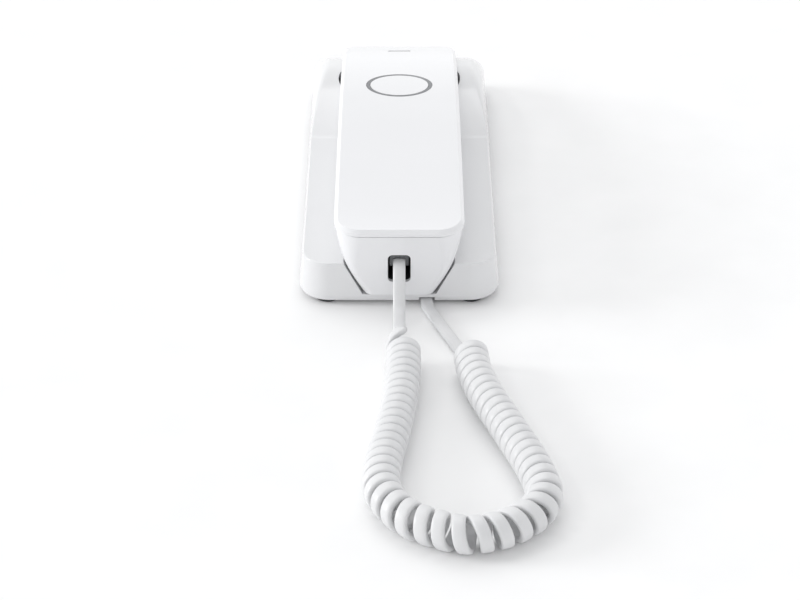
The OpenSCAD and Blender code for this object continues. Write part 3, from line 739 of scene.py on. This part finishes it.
def handset_back():
    def ring(inset, drop):
        return closed([(x, y, back_surface(y) - drop) for x, y, _, _ in handset_half(inset)])

    lip = SHELL_WALL + LIP_INSET
    low = BACK_H + LIP_DROP
    back = loft(
        "handset_back_shell",
        [
            ring(lip + LIP_W, SHELL_WALL), ring(lip + LIP_W, low), ring(lip, low), ring(lip, BACK_H),
            ring(0, BACK_H), ring(0, CHAMFER), ring(CHAMFER, 0),
        ],
        "shell", "handset",
    )
    ring_low, ring_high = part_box("ring_trim")
    middle = ((ring_low.y + ring_high.y) / 2 - FRONT_EDGE) / MM
    outer = (ring_high.x - ring_low.x) / 2 / MM
    groove = prism(
        round_outline(0, middle, outer + RING_SLIP, 120),
        lambda x, y: back_surface(y) - GROOVE_DEPTH, lambda x, y: HANDSET_TOP + 3,
    )
    core = prism(
        round_outline(0, middle, outer - GROOVE_W, 120),
        lambda x, y: back_surface(y) - 3, lambda x, y: HANDSET_TOP + 9,
    )
    carve(groove, core, "DIFFERENCE")
    carve(back, groove, "DIFFERENCE")
    lens_low, lens_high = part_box("indicator_lens")
    lens_y = ((lens_low.y + lens_high.y) / 2 - FRONT_EDGE) / MM
    lens_w = (lens_high.x - lens_low.x) / MM + LENS_ROOM
    lens_l = (lens_high.y - lens_low.y) / MM + LENS_ROOM
    slot = prism(
        box_outline(0, lens_y, lens_w, lens_l, 0.15, 2),
        lambda x, y: back_surface(y) - 4, lambda x, y: HANDSET_TOP,
    )
    carve(back, slot, "DIFFERENCE")
    finish_edges(back, 0.12, 24)
    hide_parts("handset_back")


def front_ring(inset, raise_by, part, tuck=0.0):
    """A ring of the front shell at a part of its depth; tuck draws the underside's edge in."""
    out = []
    for x, y, nx, ny in handset_half(inset):
        full = parting(y) - PART_GAP - underside(y) - raise_by
        depth = full * part if tuck == 0 else full - (2.2 - tuck)
        at_front = ny < 0
        r = max(FRONT_CORNER - 0.45 * depth, LOW_CORNER) if at_front else REAR_CORNER
        r = max(r - inset, 0.3)
        y_here = HANDSET_Y0 + inset + r * (1 + ny) if at_front else y
        out.append((keel(depth) - inset - r * (1 - nx), y_here, parting(y) - PART_GAP - depth))
    return closed(out)


def handset_front():
    front = loft(
        "handset_front_shell",
        [front_ring(0, 0, f) for f in spread(1, 0, 12)]
        + [front_ring(SHELL_WALL, SHELL_WALL, f) for f in (0, 0.35, 0.7, 1)],
        "shell", "handset",
    )
    # The socket's opening in the end face
    plug_low, plug_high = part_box("handset_jack")
    middle_z = (plug_low.z + plug_high.z) / 2 / MM
    outline = box_outline(0, middle_z, SOCKET_W, SOCKET_H, 1.8)
    carve(front, stations([(HANDSET_Y0 - 3, outline), (HANDSET_Y0 + 5, outline)]), "DIFFERENCE")
    # The keys' openings and the sound holes
    for part in frame["record"]["subparts"]:
        if part["node"].startswith("key_"):
            low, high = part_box(part["node"])
            x, y = (low.x + high.x) / 2 / MM, ((low.y + high.y) / 2 - FRONT_EDGE) / MM
            w = (high.x - low.x) / MM - KEY_FLANGE + KEY_ROOM
            l = (high.y - low.y) / MM - KEY_FLANGE + KEY_ROOM
            hole = prism(box_outline(x, y, w, l, 1.2), lambda x, y: FACE_Z - 2, lambda x, y: FACE_Z + 3)
            carve(front, hole, "DIFFERENCE")
    for i in range(9):
        a, r = math.radians(45 * i), SOUND_RING_R if i else 0.0
        at = (r * math.cos(a), CUP_Y + r * math.sin(a))
        outline = round_outline(*at, SOUND_HOLE_R, 20)
        hole = prism(outline, lambda x, y: EAR_FLOOR - 2, lambda x, y: EAR_FLOOR + 4)
        carve(front, hole, "DIFFERENCE")
    mic_low, mic_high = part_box("microphone")
    mic_y = ((mic_low.y + mic_high.y) / 2 - FRONT_EDGE) / MM
    hole = prism(round_outline(0, mic_y, MIC_HOLE_R, 20), lambda x, y: 2.0, lambda x, y: 9.0)
    carve(front, hole, "DIFFERENCE")
    for x, y in ((-SCREW_X, mic_y), (SCREW_X, mic_y), (0, CUP_Y + SCREW_AHEAD)):
        bottom = underside(y)
        hole = prism(round_outline(x, y, SCREW_HOLE_R, 24), lambda x, y: bottom - 3, lambda x, y: bottom + 3)
        carve(front, hole, "DIFFERENCE")
    finish_edges(front, 0.25)
    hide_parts("handset_front")


camera()
cords()
studio()
dress_nodes()
base_cover()
handset_back()
handset_front()
